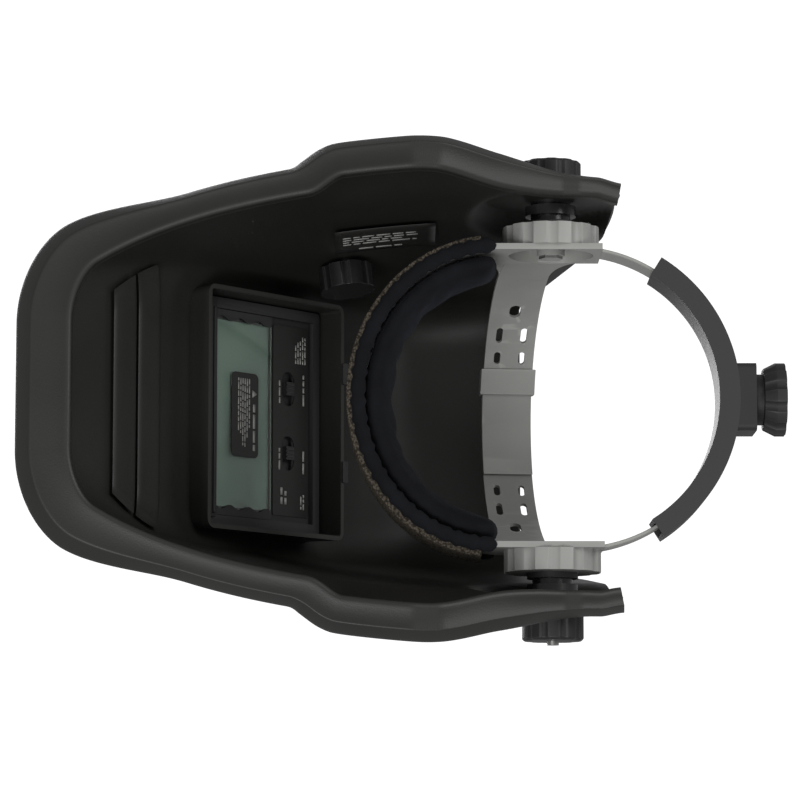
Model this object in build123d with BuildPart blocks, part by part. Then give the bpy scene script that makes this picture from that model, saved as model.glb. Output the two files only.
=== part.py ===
from build123d import *
import os
from math import asin, atan, cos, pi, radians, sin, sqrt, tan

os.makedirs("parts", exist_ok=True)

# An auto-darkening welding helmet, raised a little from the working position.
# Origin: midpoint of the tilt axis.  +X is the wearer's left, -Y is forward,
# +Z is up along the axis of the headband ring.  Millimetres and degrees.

# ---------------------------------------------------------------- shell
shell_wall = 2.5
shell_rise = 41.0            # how far the shell is raised from the working position
rim_z = -60.0                # flat part of the rim
side_space = 28.0            # from the headband's side to the outside of the shell, at rim height
side_draft = 8.5             # the side walls lean in by this angle
chin_y = -238.0              # outside of the front wall, at rim height
chin_close = 24.0            # the oval of the side walls would close this far ahead of it
chin_taper = 2.2
chin_round = 0.42
front_slope = 1.54           # rise of the front wall for each millimetre back
crown_z = 157.0
crown_mid_y = -58.0
crown_fall = 0.711           # share of the shell's height that the crown's curve has dropped by at the chin
brow_blend = 45.0            # size of the blend from front wall to crown
corner_radius = 24.0         # between the roof and the side walls
ear_y = 33.0                 # rear edge beside the ear
ear_rim_z = -30.0            # the rim rises to here beside the ear
crown_edge_y = -12.0         # rear edge on the middle line
crown_edge_drop = 16.0       # the rear edge turns straight up this far below the crown
rear_edge = [(33.0, 8.0), (20.0, 70.0), (2.0, 120.0)]   # rear edge in side view, y and z
ear_corner = 8.0             # bevel where the rim meets the rear edge
rim_turn_y = -63.0           # the rim starts to rise here
rim_level_y = 6.0            # and is level again from here
ear_plate_stand = 5.5        # the flat plate round the pivot stands out of the side wall by this
ear_plate_radius = 34.0
ear_slope_run = 14.0         # width of the slope round the plate
ear_hole_gap = 0.05
lip_width = 14.0             # flange round the rim
lip_front = 26.0
lip_chin_half = 49.0
lip_thick = 2.5
lip_turn = 9.0               # height of the turned-up outer edge
lip_step_y = -124.0          # the flange steps out behind this
lip_step = 3.0
lip_ear_in = 4.0             # it narrows by this beside the ear, and twice as much at its end
lip_corner = [(0, 0), (11, 6), (20, 19)]   # steps of its front corner, out and back
bowl_shares = [0, 0.07, 0.175, 0.28, 0.38, 0.47, 0.55, 0.64, 0.74, 0.86, 1]   # lofted sections
bowl_over = 8.0              # the loft runs past both ends of the shell by this, and more behind

# ---------------------------------------------------------------- filter window
window_rise = 152.0          # up the front wall from the rim to the middle of the filter holder
window_sink = 6.5            # from the outside of the front wall to the holder's inner face
holder_side = 3.7            # frame beside the filter case
holder_lip = 2.2             # frame above and below the case
holder_depth = 16.5
holder_wall = 3.0
holder_gap = 0.9
hinge_inset = 3.5            # hinge of the holder, from its lower edge
hinge_out = 4.0              # and from its inner face
hinge_pin_radius = 1.5
hinge_pin_bite = 1.9         # length of the pin in the pocket's wall
holder_open_side = 1.5       # the holder's opening is narrower than the case by this, each side
holder_open_less = 17.0      # and lower than the case by this
holder_open_up = 6.0
hook_spread = 26.0           # latch hooks, from the middle
hook_width = 10.0
retainer_depth = 14.0        # bar across the holder, over the cover lens
retainer_thick = 2.0
case_depth = 9.0
case_wall = 1.2
case_gap = 0.3
glass_width = 97.0           # viewing area
glass_height = 42.0
glass_side = 6.5             # from the viewing area to the case's side
glass_low = 15.0             # and to the case's lower edge
glass_bed = 2.5              # the glass is wider than the viewing area by this, each side
lens_thick = 1.5
inner_lens_thick = 1.0
label_thick = 0.3
label_width = 44.0
label_height = 20.0
gasket_thick = 1.0
panel_gap = 2.5              # from the viewing area to the control panel
panel_height = 27.0
panel_margin = 5.0           # from the panel to the case's sides
panel_top = 3.5              # and to its upper edge
panel_thick = 0.5
slot_width = 18.0            # recess of each slider
slot_height = 9.5
slider_spacing = 34.0
slider_drop = 2.0            # below the middle of the panel
slider_width = 7.0
slider_stand = 2.2           # how far the thumb piece stands out of the case
cell_width = 60.0            # solar cell
cell_height = 12.0
board_thick = 1.6
battery_radius = 10.0
battery_thick = 2.0
sensor_spread = 30.0
sensor_radius = 2.5

# ---------------------------------------------------------------- headgear
band_half_width = 76.0
band_front = -98.0
band_centre_y = -28.0        # the straight sides turn into the front oval here
band_thick = 3.0
band_height = 44.0
band_rear_y = 25.0
boss_radius = 24.3           # scalloped boss round each pivot
boss_depth = 11.0
boss_lobes = 12
hub_radius = 7.0
strap_width = 26.0           # crown strap
strap_foot_y = -9.0          # middle of the strap where it leaves the headband
strap_lean = 7.0             # it leans forward by this angle
strap_slots = [              # distance from the middle, places across, length, width
    (57.5, (0,), 9.0, 6.0),
    (46.5, (-6.5, 6.5), 9.5, 3.4),
    (35.5, (-6.5, 6.5), 7.0, 3.4),
]
strap_thick = 1.8
strap_top_z = 110.0
strap_lap_gap = 0.4
strap_lap_in = 26.0          # how far the inner tongue passes the middle
strap_lap_out = 29.0         # where the outer half ends, in its keeper
keeper_width = 13.0
roll_thick = 13.0            # padded roll inside the front of the headband
roll_height = 48.0
roll_round = 4.0
foam_thick = 4.5
foam_height = 40.0
soft_gap = 0.3

# ---------------------------------------------------------------- pivots
bolt_radius = 3.0
washer_radius = 12.75
washer_thick = 3.0
spring_washer_thick = 0.8
bush_radius = 10.0
knob_radius = 15.5
knob_length = 19.5
knob_lobes = 10
face_gap = 0.1
running_gap = 0.05

# ---------------------------------------------------------------- rear ratchet
rear_centre_y = 11.0
rear_bulge = 1.0             # radius of the rear arc, more than the headband's half width
rear_strap_thick = 1.6
rear_strap_height = 22.0
rear_strap_end = 108.0       # the straps cross behind and end at this angle
sleeve_wall = 2.2
sleeve_height = 30.0
sleeve_start = 32.0          # first angle of the sleeve, from +X towards +Y
layer_gap = 0.4              # strap to sleeve
lap_gap = 1.2                # strap to strap where they cross
housing_width = 34.0
housing_depth = 8.0
neck_radius = 12.8
neck_length = 4.0
ratchet_knob_radius = 18.4
ratchet_knob_length = 11.0
pinion_radius = 6.0
shaft_radius = 3.0
rack_length = 27.0           # slot in each strap for the pinion
end_wall = 1.5               # upper and lower walls of the sleeve
screw_radius = 1.25
screw_head_radius = 3.2

# ---------------------------------------------------------------- shade control
shade_y = -105.0
shade_z = 60.0
shade_knob_radius = 17.0
shade_knob_length = 13.0
pot_radius = 10.5
pot_length = 11.0
pot_shaft_radius = 3.0
knob_off = 1.0               # from the wall to the knob

# ---------------------------------------------------------------- derived values
draft = radians(side_draft)
lean = tan(draft)
rise = radians(shell_rise)
front_angle = atan(front_slope)
shell_half_width = band_half_width + side_space     # outside of the side wall, at rim height
chin_reach = chin_close - chin_y
crown_sweep = (crown_mid_y - chin_y) ** 2 / (2 * crown_fall * (crown_z - rim_z))
ear_plate_out = shell_half_width + rim_z * lean + ear_plate_stand
ear_plate_in = ear_plate_out - shell_wall
bowl_start = chin_y - bowl_over
bowl_length = ear_y + 1.5 * bowl_over - bowl_start
case_width = glass_width + 2 * glass_side
case_height = glass_low + glass_height + panel_gap + panel_height + panel_top
glass_up = glass_low + glass_height / 2 - case_height / 2
panel_up = glass_up + glass_height / 2 + panel_gap + panel_height / 2
panel_width = case_width - 2 * panel_margin
slider_up = panel_up - slider_drop
holder_width = case_width + 2 * (case_gap + holder_side)
holder_height = case_height + 2 * (case_gap + holder_lip)
holder_open_width = case_width - 2 * holder_open_side
holder_open_height = case_height - holder_open_less
window_origin = (
    0,
    chin_y + window_rise * cos(front_angle) + window_sink * sin(front_angle),
    rim_z + window_rise * sin(front_angle) - window_sink * cos(front_angle),
)
window = Plane(origin=window_origin, x_dir=(1, 0, 0), z_dir=(0, -cos(rise), sin(rise)))
lens_out = holder_depth + 0.6                       # inner face of the cover lens
wall_out = lens_out + lens_thick + gasket_thick     # inner face of the window wall
case_out = holder_wall + 0.2                        # inner face of the filter case
hinge_up = hinge_inset - holder_height / 2
hinge_point = window.from_local_coords((0, hinge_up, hinge_out))
board_out = case_out + 2.4
battery_out = board_out + board_thick + face_gap
boss_face = band_half_width + boss_depth
rear_radius = band_half_width + rear_bulge
band_depth = band_centre_y - band_front
strap_rise = strap_top_z - band_height / 2
lap_step = strap_thick + strap_lap_gap
crown_plane = Plane(
    origin=(0, strap_foot_y, band_height / 2),
    x_dir=(1, 0, 0),
    z_dir=(0, -cos(radians(strap_lean)), -sin(radians(strap_lean))),
)
knob_start = ear_plate_out + 2 * face_gap + spring_washer_thick
inner_lap = rear_radius - lap_gap / 2 - rear_strap_thick
outer_lap = rear_radius + lap_gap / 2
sleeve_in = inner_lap - layer_gap
sleeve_out = outer_lap + rear_strap_thick + 3 * layer_gap
strap_root = asin((band_rear_y - rear_centre_y) / rear_radius)
lap_shift = (outer_lap + rear_strap_thick / 2) * cos(strap_root) - band_half_width + band_thick / 2
yoke_y = rear_centre_y + sleeve_out + sleeve_wall   # outside of the sleeve, at the back
knob_y = yoke_y + housing_depth + neck_length + face_gap
pinion_y = rear_centre_y + sleeve_in + 0.1


def side_width(y):
    """Half width of the bowl at rim height: full at the ears, closing in an oval to the chin."""
    ahead = max(0.0, -y) / chin_reach
    return shell_half_width * (1 - ahead**chin_taper) ** chin_round


def roof_height(y):
    """Height of the bowl on its middle line: the sloping front blended into the crown."""
    front = rim_z + (y - chin_y) * front_slope
    crown = crown_z - (y - crown_mid_y) ** 2 / (2 * crown_sweep)
    mix = max(0.0, 1 - abs(front - crown) / brow_blend)
    return min(front, crown) - brow_blend * mix * mix / 4


def bowl(inset):
    """The solid bowl, lofted through upright sections; inset shrinks it for the inside."""
    low = rim_z - 70
    with BuildPart() as solid:
        for share in bowl_shares:
            y = bowl_start + share * bowl_length
            slope = (roof_height(y + 1) - roof_height(y - 1)) / 2
            top = roof_height(y) - inset * sqrt(1 + slope * slope)
            low_half = side_width(y) + (rim_z - low) * lean - inset
            radius = corner_radius - inset
            centre_z = top - radius
            centre_x = low_half - (centre_z - low) * lean - radius / cos(draft)
            turn_x = centre_x + radius * cos(draft)
            turn_z = centre_z + radius * sin(draft)
            bend_x = centre_x + radius * sin(pi / 4 - draft / 2)
            bend_z = centre_z + radius * cos(pi / 4 - draft / 2)
            with BuildSketch(Plane.XZ.offset(-y)):
                with BuildLine():
                    Polyline((-centre_x, top), (centre_x, top))
                    ThreePointArc((centre_x, top), (bend_x, bend_z), (turn_x, turn_z))
                    Polyline((turn_x, turn_z), (low_half, low), (-low_half, low), (-turn_x, turn_z))
                    ThreePointArc((-turn_x, turn_z), (-bend_x, bend_z), (-centre_x, top))
                make_face()
        loft()
        # rounded plates standing out from the side walls round the pivots
        with BuildSketch(Plane.XY):
            Polygon(
                (shell_half_width - 40, 0),
                (ear_plate_out - inset, 0),
                (ear_plate_out - inset, ear_plate_radius - inset),
                (ear_plate_out - 1.18 * ear_slope_run - inset, ear_plate_radius + ear_slope_run - inset),
                (shell_half_width - 40, ear_plate_radius + ear_slope_run - inset),
                align=None,
            )
        ears = revolve(axis=Axis.X)
        mirror(ears, about=Plane.YZ)
    return solid.part


def lobed(radius, depth, count, lobe_radius):
    """A round outline with shallow finger scallops; call it inside a sketch."""
    Circle(radius)
    with PolarLocations(radius + lobe_radius - depth, count):
        Circle(lobe_radius, mode=Mode.SUBTRACT)


def band_plan(inset, mode):
    """Plan of the headband, straight sides and an oval front; call it inside a sketch."""
    with Locations((0, band_centre_y)):
        Ellipse(band_half_width - inset, band_depth - inset, mode=mode)
        Rectangle(2 * (band_half_width - inset), 100, align=(Align.CENTER, Align.MIN), mode=mode)


def strap_section(lift, thick):
    """The crown strap's arch in its own leaning plane, raised by lift at the top."""
    side = band_half_width - band_thick / 2
    inner = side - strap_thick / 2 + min(lift, 0)
    wide = inner + thick
    Ellipse(wide, strap_rise + lift - strap_thick + thick)
    Rectangle(2 * wide, 12, align=(Align.CENTER, Align.MAX))
    Ellipse(inner, strap_rise + lift - strap_thick, mode=Mode.SUBTRACT)
    Rectangle(2 * inner, 12, align=(Align.CENTER, Align.MAX), mode=Mode.SUBTRACT)


def strap_face(x, lift):
    """A plane square to the arch at this distance from the middle, for its slots."""
    side = band_half_width - band_thick / 2
    top = strap_rise + lift - strap_thick / 2
    rise_here = top * sqrt(1 - (x / side) ** 2)
    point = crown_plane.from_local_coords((x, rise_here, 0))
    outward = crown_plane.from_local_coords((x + x / side**2, rise_here + rise_here / top**2, 0)) - point
    return Plane(origin=point, x_dir=crown_plane.z_dir, z_dir=outward)


def keeper_cut(mode):
    """The stretch of the arch that the keeper covers."""
    with Locations((strap_lap_out + 0.5, 0)):
        Rectangle(keeper_width, 400, align=(Align.MAX, Align.MIN), mode=mode)


def ring_sector(centre_x, inner, outer, start, stop):
    """A stretch of a ring about the rear centre, between two angles."""
    centre = (centre_x, rear_centre_y)
    with BuildSketch() as ring:
        with BuildLine():
            outside = CenterArc(centre, outer, start, stop - start)
            inside = CenterArc(centre, inner, start, stop - start)
            Line(outside @ 0, inside @ 0)
            Line(outside @ 1, inside @ 1)
        make_face()
    return ring.sketch


# plane of the shade control, square to the outside of the left side wall
shade_x = side_width(shade_y) - (shade_z - rim_z) * lean
wall_turn = (side_width(shade_y + 1) - side_width(shade_y - 1)) / 2
shade_plane = Plane(
    origin=(shade_x, shade_y, shade_z), x_dir=(wall_turn, 1, 0), z_dir=(1, -wall_turn, lean)
)


# ================================================================ shell body
lip_outline = [(0, chin_y - lip_front)]
for out, back in lip_corner:
    lip_outline.append((lip_chin_half + out, chin_y - lip_front + back))
for y in (chin_y + 10, chin_y + 50, chin_y + 81, lip_step_y - 4):
    lip_outline.append((side_width(y) + lip_width, y))
for y in (lip_step_y + 4, rim_turn_y):
    lip_outline.append((side_width(y) + lip_width + lip_step, y))
lip_outline += [
    (shell_half_width + lip_width - lip_ear_in, (rim_turn_y + rim_level_y) / 2),
    (shell_half_width + lip_width - 2 * lip_ear_in, ear_y - 6),
    (0, ear_y - 6),
]

with BuildPart() as shell:
    add(bowl(0))
    with BuildSketch(window.offset(-12)):
        RectangleRounded(
            holder_width + 2 * (holder_gap + shell_wall),
            holder_height + 2 * (holder_gap + shell_wall) + 2,
            5,
        )
    extrude(amount=12 + wall_out + shell_wall, taper=1.5)
    # the rim flange: a band that follows the rim in side view, cut to the lip's plan
    with BuildPart(mode=Mode.PRIVATE) as flange:
        with BuildSketch(Plane.XY.offset(rim_z - 20)):
            with BuildLine():
                Polyline(*lip_outline)
                mirror(about=Plane.YZ)
            make_face()
        extrude(amount=120)
        with BuildSketch(Plane.YZ):
            with BuildLine():
                rim_line = Polyline(
                    (chin_y - lip_front - 5, rim_z + lip_turn),
                    (chin_y - lip_front + lip_turn, rim_z),
                    (rim_turn_y, rim_z),
                    (rim_level_y, ear_rim_z),
                    (ear_y + 20, ear_rim_z + 2),
                )
                offset(rim_line, amount=lip_thick, side=Side.LEFT)
            make_face()
        extrude(amount=2 * shell_half_width, both=True, mode=Mode.INTERSECT)
    add(flange.part)
    add(bowl(shell_wall), mode=Mode.SUBTRACT)
    # pocket for the filter holder, then the window through the front wall
    with BuildSketch(window.offset(-10)):
        with Locations((0, 0.5)):
            Rectangle(holder_width + 2 * holder_gap, holder_height + 2 * holder_gap + 1)
    extrude(amount=10 + wall_out, mode=Mode.SUBTRACT)
    with BuildSketch(window.offset(wall_out - 1)):
        with Locations((0, glass_up)):
            RectangleRounded(glass_width + 2, glass_height + 2, 4)
    extrude(amount=shell_wall + 2, mode=Mode.SUBTRACT)
    # side view: the rim line below, the rear edge behind
    with BuildSketch(Plane.YZ):
        with BuildLine():
            Polyline(
                (chin_y - 60, rim_z + lip_turn + 20),
                (chin_y - lip_front - 5, rim_z + lip_turn),
                (chin_y - lip_front + lip_turn, rim_z),
                (rim_turn_y, rim_z),
                (rim_level_y, ear_rim_z),
                (ear_y - ear_corner / 2, ear_rim_z + 1),
                (ear_y, ear_rim_z + ear_corner),
                *rear_edge,
                (crown_edge_y, crown_z - crown_edge_drop),
                (crown_edge_y, crown_z + 40),
                (chin_y - 60, crown_z + 40),
                close=True,
            )
        make_face()
    extrude(amount=2 * shell_half_width, both=True, mode=Mode.INTERSECT)
    # pivot holes
    with BuildSketch(Plane.YZ):
        Circle(bush_radius + ear_hole_gap)
    extrude(amount=2 * shell_half_width, both=True, mode=Mode.SUBTRACT)
    # blind bores for the holder's hinge pins, in the side walls of the pocket
    with BuildSketch(Plane.YZ):
        with Locations((hinge_point.Y, hinge_point.Z)):
            Circle(hinge_pin_radius + running_gap)
    extrude(amount=holder_width / 2 + holder_gap + hinge_pin_bite + 0.2, both=True, mode=Mode.SUBTRACT)
    # hole for the shade control's shaft
    with BuildSketch(shade_plane.offset(-shell_wall - 1)):
        Circle(pot_shaft_radius + 0.5)
    extrude(amount=shell_wall + 2, mode=Mode.SUBTRACT)

with BuildPart() as front_cover_lens:
    with BuildSketch(window.offset(lens_out)):
        RectangleRounded(holder_width - 4, holder_height - 3, 3)
    extrude(amount=lens_thick)

with BuildPart() as cover_lens_gasket:
    with BuildSketch(window.offset(lens_out + lens_thick)):
        RectangleRounded(holder_width - 4, holder_height - 3, 3)
        with Locations((0, glass_up)):
            RectangleRounded(glass_width + 4, glass_height + 4, 4, mode=Mode.SUBTRACT)
    extrude(amount=gasket_thick)

# ================================================================ filter holder
with BuildPart() as filter_holder:
    with BuildSketch(window):
        RectangleRounded(holder_width, holder_height, 2.5)
    extrude(amount=holder_depth)
    # pocket that the filter case drops into from the front
    with BuildSketch(window.offset(holder_wall)):
        Rectangle(case_width + 2 * case_gap, case_height + 2 * case_gap)
    extrude(amount=holder_depth, mode=Mode.SUBTRACT)
    # opening towards the wearer
    with BuildSketch(window):
        with Locations((0, holder_open_up)):
            Rectangle(holder_open_width, holder_open_height)
    extrude(amount=holder_wall, mode=Mode.SUBTRACT)
    # bores for the hinge pins
    with BuildSketch(Plane.YZ):
        with Locations((hinge_point.Y, hinge_point.Z)):
            Circle(hinge_pin_radius)
    extrude(amount=holder_width, both=True, mode=Mode.SUBTRACT)
    # two latch hooks on the top edge
    with BuildSketch(window.offset(holder_depth - 8)):
        for side in (-1, 1):
            with Locations((side * hook_spread, holder_height / 2 + 0.4)):
                Rectangle(hook_width, 0.8)
    extrude(amount=3)

with BuildPart() as hinge_pins:
    with BuildSketch(Plane.YZ.offset(case_width / 2 + 0.5)):
        with Locations((hinge_point.Y, hinge_point.Z)):
            Circle(hinge_pin_radius)
    pin = extrude(amount=(holder_width - case_width) / 2 + holder_gap + hinge_pin_bite - 0.5)
    mirror(pin, about=Plane.YZ)

with BuildPart() as retainer_bar:
    with BuildSketch(window.offset(-retainer_thick)):
        with Locations((0, -holder_height / 2 + 8)):
            RectangleRounded(holder_width - 8, retainer_depth, 1)
    extrude(amount=retainer_thick)
    with BuildSketch(window.offset(-retainer_thick - 1.2)):
        with Locations((0, -holder_height / 2 + 12.5), (0, -holder_height / 2 + 3.5)):
            Rectangle(holder_width - 12, 1.6)
    extrude(amount=1.2)

with BuildPart() as filter_case_inner:
    with BuildSketch(window.offset(case_out)):
        RectangleRounded(case_width, case_height, 2)
    extrude(amount=case_depth / 2)
    with BuildSketch(window.offset(case_out + case_wall)):
        RectangleRounded(case_width - 2 * case_wall, case_height - 2 * case_wall, 1)
    extrude(amount=case_depth, mode=Mode.SUBTRACT)
    with BuildSketch(window.offset(case_out)):
        with Locations((0, glass_up)):
            Rectangle(glass_width, glass_height)
        with Locations((-slider_spacing / 2, slider_up), (slider_spacing / 2, slider_up)):
            Rectangle(slot_width, slot_height - 3)
    extrude(amount=case_wall, mode=Mode.SUBTRACT)

with BuildPart() as filter_case_outer:
    with BuildSketch(window.offset(case_out + case_depth / 2)):
        RectangleRounded(case_width, case_height, 2)
    extrude(amount=case_depth / 2)
    with BuildSketch(window.offset(case_out + case_depth / 2)):
        RectangleRounded(case_width - 2 * case_wall, case_height - 2 * case_wall, 1)
    extrude(amount=case_depth / 2 - case_wall, mode=Mode.SUBTRACT)
    # viewing area, solar cell window and two sensor holes
    with BuildSketch(window.offset(case_out + case_depth / 2)):
        with Locations((0, glass_up)):
            Rectangle(glass_width, glass_height)
        with Locations((0, panel_up + 6)):
            Rectangle(cell_width, cell_height)
        with Locations((-sensor_spread, panel_up - 8), (sensor_spread, panel_up - 8)):
            Circle(sensor_radius + 0.7)
    extrude(amount=case_depth, mode=Mode.SUBTRACT)

with BuildPart() as filter_glass:
    with BuildSketch(window.offset(case_out + case_wall + 0.2)):
        with Locations((0, glass_up)):
            Rectangle(glass_width + 2 * glass_bed, glass_height + 2 * glass_bed)
    extrude(amount=case_depth - 2 * case_wall - 0.4)

with BuildPart() as inner_cover_lens:
    with BuildSketch(window.offset(holder_wall - inner_lens_thick - 0.2)):
        with Locations((0, glass_up)):
            RectangleRounded(holder_open_width - 2, glass_height, 1)
    extrude(amount=inner_lens_thick)

with BuildPart() as filter_label:
    with BuildSketch(window.offset(holder_wall - inner_lens_thick - 0.2 - label_thick)):
        with Locations((0, glass_up + 1)):
            RectangleRounded(label_width, label_height, 3)
    extrude(amount=label_thick)

with BuildPart() as control_panel:
    with BuildSketch(window.offset(case_out - panel_thick)):
        with Locations((0, panel_up)):
            RectangleRounded(panel_width, panel_height, 1)
        with Locations((-slider_spacing / 2, slider_up), (slider_spacing / 2, slider_up)):
            SlotOverall(slot_width, slot_height, mode=Mode.SUBTRACT)
    extrude(amount=panel_thick)

with BuildPart() as circuit_board:
    with BuildSketch(window.offset(board_out)):
        with Locations((0, panel_up)):
            Rectangle(panel_width, panel_height)
    extrude(amount=board_thick)

with BuildPart() as batteries:
    with BuildSketch(window.offset(battery_out)):
        with Locations((-12, panel_up + 1), (12, panel_up + 1)):
            Circle(battery_radius)
    extrude(amount=battery_thick)

with BuildPart() as solar_cell:
    with BuildSketch(window.offset(case_out + case_depth - case_wall)):
        with Locations((0, panel_up + 6)):
            Rectangle(cell_width, cell_height)
    extrude(amount=case_wall)

with BuildPart() as arc_sensors:
    with BuildSketch(window.offset(battery_out)):
        with Locations((-sensor_spread, panel_up - 8), (sensor_spread, panel_up - 8)):
            Circle(sensor_radius)
    extrude(amount=case_out + case_depth - battery_out - 0.2)

slider_parts = []
for side in (1, -1):
    with BuildPart() as slider:
        with BuildSketch(window.offset(case_out + case_wall + 0.1)):
            with Locations((side * slider_spacing / 2, slider_up)):
                Rectangle(slider_width, slot_height - 1.5)
        extrude(amount=0.9)
        with BuildSketch(window.offset(case_out - slider_stand)):
            with Locations((side * slider_spacing / 2, slider_up)):
                Rectangle(slider_width, slot_height - 3.4)
        extrude(amount=slider_stand + case_wall + 0.1)
        for step in (-2, 0, 2):
            with BuildSketch(window.offset(case_out - slider_stand - 0.4)):
                with Locations((side * slider_spacing / 2 + step, slider_up)):
                    Rectangle(0.7, slot_height - 4)
            extrude(amount=0.4)
    slider_parts.append(slider)
sensitivity_slider, delay_slider = slider_parts

# ================================================================ shade control
with BuildPart() as shade_pot:
    with BuildSketch(shade_plane.offset(-shell_wall - 0.5)):
        Circle(pot_radius)
    extrude(amount=-pot_length + 0.5)
    with BuildSketch(shade_plane.offset(-shell_wall - 0.5)):
        Circle(pot_shaft_radius)
    extrude(amount=shell_wall + 0.5 + knob_off + 8)

with BuildPart() as shade_pot_cover:
    with BuildSketch(shade_plane.offset(-shell_wall - 0.5)):
        lobed(pot_radius + 3.6, 1.0, 8, 4)
        Circle(pot_radius + 0.3, mode=Mode.SUBTRACT)
    extrude(amount=-pot_length - 0.5)
    with BuildSketch(shade_plane.offset(-shell_wall - pot_length - 1)):
        lobed(pot_radius + 3.6, 1.0, 8, 4)
    extrude(amount=-1.5)

with BuildPart() as shade_knob:
    with BuildSketch(shade_plane.offset(knob_off)):
        lobed(shade_knob_radius, 1.0, 12, 3)
    extrude(amount=shade_knob_length, taper=4)
    with BuildSketch(shade_plane.offset(knob_off)):
        Circle(pot_shaft_radius + running_gap)
    extrude(amount=8.5, mode=Mode.SUBTRACT)
    with BuildSketch(shade_plane.offset(knob_off + shade_knob_length)):
        with Locations((0, shade_knob_radius * 0.55)):
            Rectangle(2.0, shade_knob_radius * 0.6)
    extrude(amount=0.8)

# ================================================================ headband
with BuildPart() as headband:
    with BuildSketch(Plane.XY.offset(-band_height / 2)):
        band_plan(0, Mode.ADD)
        band_plan(band_thick, Mode.SUBTRACT)
        with Locations((0, band_rear_y)):
            Rectangle(4 * band_half_width, 60, align=(Align.CENTER, Align.MIN), mode=Mode.SUBTRACT)
    extrude(amount=band_height)
    with BuildSketch(Plane.YZ.offset(band_half_width - band_thick)):
        Circle(boss_radius + 0.7)
        Rectangle(4 * boss_radius, band_height, mode=Mode.INTERSECT)
    pad = extrude(amount=band_thick)
    with BuildSketch(Plane.YZ.offset(band_half_width)):
        lobed(boss_radius, 1.2, boss_lobes, 5)
    boss = extrude(amount=boss_depth)
    mirror([pad, boss], about=Plane.YZ)
    # the bosses are hollow towards the head, with a hub for the pivot bolt
    with BuildSketch(Plane.YZ.offset(band_half_width - band_thick)):
        Circle(boss_radius - 3)
        Circle(hub_radius, mode=Mode.SUBTRACT)
    hollow = extrude(amount=band_thick + boss_depth - 2.5, mode=Mode.SUBTRACT)
    mirror(hollow, about=Plane.YZ, mode=Mode.SUBTRACT)
    with BuildSketch(Plane.YZ):
        Circle(bolt_radius)
    extrude(amount=boss_face, both=True, mode=Mode.SUBTRACT)

strap_parts = []
for side, lift in ((1, 0), (-1, lap_step)):
    with BuildPart() as strap:
        end = strap_lap_in if side > 0 else strap_lap_out
        with BuildSketch(crown_plane.offset(-strap_width / 2)):
            strap_section(lift, strap_thick)
            with Locations((side * (band_half_width + 20), 0)):
                width = band_half_width + 20 + end
                keep_align = Align.MAX if side > 0 else Align.MIN
                Rectangle(width, 400, align=(keep_align, Align.CENTER), mode=Mode.INTERSECT)
        extrude(amount=strap_width)
        split(bisect_by=Plane.XY.offset(band_height / 2), keep=Keep.TOP)
        # slots and peg holes across the strap
        for x, across, length, width in strap_slots:
            with BuildSketch(strap_face(side * x, lift)):
                for place in across:
                    with Locations((place, 0)):
                        SlotOverall(length, width, rotation=90)
            extrude(amount=4, both=True, mode=Mode.SUBTRACT)
    strap_parts.append(strap)
crown_strap_left, crown_strap_right = strap_parts

with BuildPart() as crown_keeper:
    half = strap_width / 2 + 0.3
    with BuildSketch(crown_plane.offset(-half - 1.2)):
        strap_section(-1.5, 1.2)
        keeper_cut(Mode.INTERSECT)
    extrude(amount=2 * half + 2.4)
    for offset_out in (-half - 1.2, half):
        with BuildSketch(crown_plane.offset(offset_out)):
            strap_section(-0.4, strap_thick + lap_step + 0.6)
            keeper_cut(Mode.INTERSECT)
        extrude(amount=1.2)

with BuildPart() as sweatband:
    with BuildLine() as roll_path:
        EllipticalCenterArc(
            (0, band_centre_y),
            band_half_width - band_thick - soft_gap - roll_thick / 2,
            band_depth - band_thick - soft_gap - roll_thick / 2,
            start_angle=182,
            arc_size=176,
        )
    path_start = roll_path.line @ 0
    path_ahead = roll_path.line % 0
    with BuildSketch(Plane(origin=path_start, x_dir=(0, 0, 1), z_dir=path_ahead)):
        RectangleRounded(roll_height, roll_thick, roll_round)
    sweep()

with BuildPart() as sweatband_foam:
    with BuildSketch(Plane.XY.offset(-foam_height / 2)):
        band_plan(-soft_gap - foam_thick, Mode.ADD)
        band_plan(-soft_gap, Mode.SUBTRACT)
        with Locations((0, band_centre_y - 7)):
            Rectangle(4 * band_half_width, 200, align=(Align.CENTER, Align.MIN), mode=Mode.SUBTRACT)
    extrude(amount=foam_height)

# ================================================================ pivots
with BuildPart() as pivot_bolts:
    with BuildSketch(Plane.YZ.offset(band_half_width - band_thick + 1)):
        Circle(bolt_radius)
    shank = extrude(amount=knob_start + knob_length + 2 - band_half_width + band_thick - 1)
    with BuildSketch(Plane.YZ.offset(band_half_width - band_thick - 1.5)):
        RegularPolygon(hub_radius - 1, 6)
    head = extrude(amount=1.5)
    with BuildSketch(Plane.YZ.offset(band_half_width - band_thick)):
        Circle(bolt_radius)
    root = extrude(amount=1)
    mirror([shank, head, root], about=Plane.YZ)

with BuildPart() as boss_washers:
    with BuildSketch(Plane.YZ.offset(boss_face)):
        Circle(washer_radius)
        Circle(bolt_radius, mode=Mode.SUBTRACT)
    washer = extrude(amount=washer_thick)
    mirror(washer, about=Plane.YZ)

with BuildPart() as pivot_bushes:
    with BuildSketch(Plane.YZ.offset(boss_face + washer_thick)):
        Circle(bush_radius)
        Circle(bolt_radius, mode=Mode.SUBTRACT)
    neck = extrude(amount=ear_plate_out - face_gap / 2 - boss_face - washer_thick)
    with BuildSketch(Plane.YZ.offset(boss_face + washer_thick + 3)):
        Circle(washer_radius)
        Circle(bush_radius - 1, mode=Mode.SUBTRACT)
    flange = extrude(amount=ear_plate_in - face_gap - boss_face - washer_thick - 3)
    mirror([neck, flange], about=Plane.YZ)

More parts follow.
